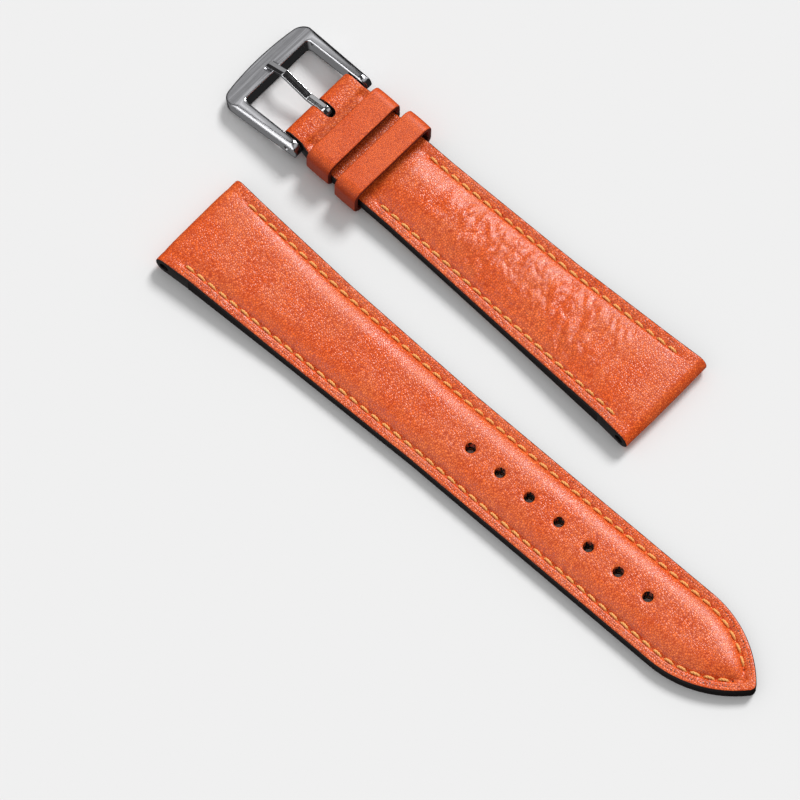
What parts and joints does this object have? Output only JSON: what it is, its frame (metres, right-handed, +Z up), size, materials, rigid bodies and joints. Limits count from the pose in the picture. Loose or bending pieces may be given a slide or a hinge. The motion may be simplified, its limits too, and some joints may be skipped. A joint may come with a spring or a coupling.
{
  "type": "watch strap",
  "caption": "Padded leather watch strap with stitched edges: pointed tail half with adjustment holes, and short half with keepers, spring bar and steel pin buckle.",
  "frame": {"origin": "under the middle of the whole, on the table that both halves lie on", "axes": "+X along the strap, from the buckle towards the tail half's tip; +Y across, from the tail half to the short half; +Z up"},
  "size_m": [0.1384, 0.049, 0.0067],
  "materials": {
    "orange_leather": "fine pebble grain, satin",
    "keeper_leather": "smooth, satin",
    "lining_leather": "matt, fine nap",
    "padding_felt": "pressed felt",
    "bonded_core": "bonded fibre",
    "linen_thread": "waxed",
    "bar_steel": "turned",
    "spring_steel": "drawn wire",
    "polished_steel": "polished"
  },
  "bodies": {
    "short_half": {"short_top_leather": "orange_leather", "short_padding": "padding_felt", "short_core": "bonded_core", "short_lining": "lining_leather", "short_stitching": "linen_thread", "fixed_keeper": "keeper_leather", "bar_barrel": "bar_steel", "bar_spring": "spring_steel"},
    "tail_half": {"tail_top_leather": "orange_leather", "tail_padding": "padding_felt", "tail_core": "bonded_core", "tail_lining": "lining_leather", "tail_stitching": "linen_thread"},
    "buckle": {"buckle_frame": "polished_steel"},
    "tongue": {"buckle_tongue": "polished_steel"},
    "sliding_keeper": {"free_keeper": "keeper_leather"},
    "pin_right": {"bar_pin_right": "bar_steel"},
    "pin_left": {"bar_pin_left": "bar_steel"}
  },
  "joints": [
    {"name": "buckle_swing", "type": "hinge", "parent": "short_half", "child": "buckle", "pos_m": [-0.05357, 0.01455, 0.00314], "axis": [0, -1, 0], "range_deg": [-105, 60]},
    {"name": "tongue_lift", "type": "hinge", "parent": "buckle", "child": "tongue", "pos_m": [-0.05357, 0.01455, 0.00314], "axis": [0, 1, 0], "range_deg": [0, 110]},
    {"name": "keeper_slide", "type": "slide", "parent": "short_half", "child": "sliding_keeper", "axis": [0.9999, 0, -0.0152], "range_m": [-0.0018, 0.024]},
    {"name": "pin_right_press", "type": "slide", "parent": "short_half", "child": "pin_right", "axis": [0, -1, 0], "range_m": [0, 0.0015], "stiffness_N_per_m": 500, "springref_m": -0.002, "deforming": ["bar_spring"]},
    {"name": "pin_left_press", "type": "slide", "parent": "short_half", "child": "pin_left", "axis": [0, 1, 0], "range_m": [0, 0.0015], "stiffness_N_per_m": 500, "springref_m": -0.002, "deforming": ["bar_spring"]},
    {"name": "tail_lift", "type": "slide", "parent": "short_half", "child": "tail_half", "axis": [0, 0, 1], "range_m": [0, 0.05]}
  ]
}
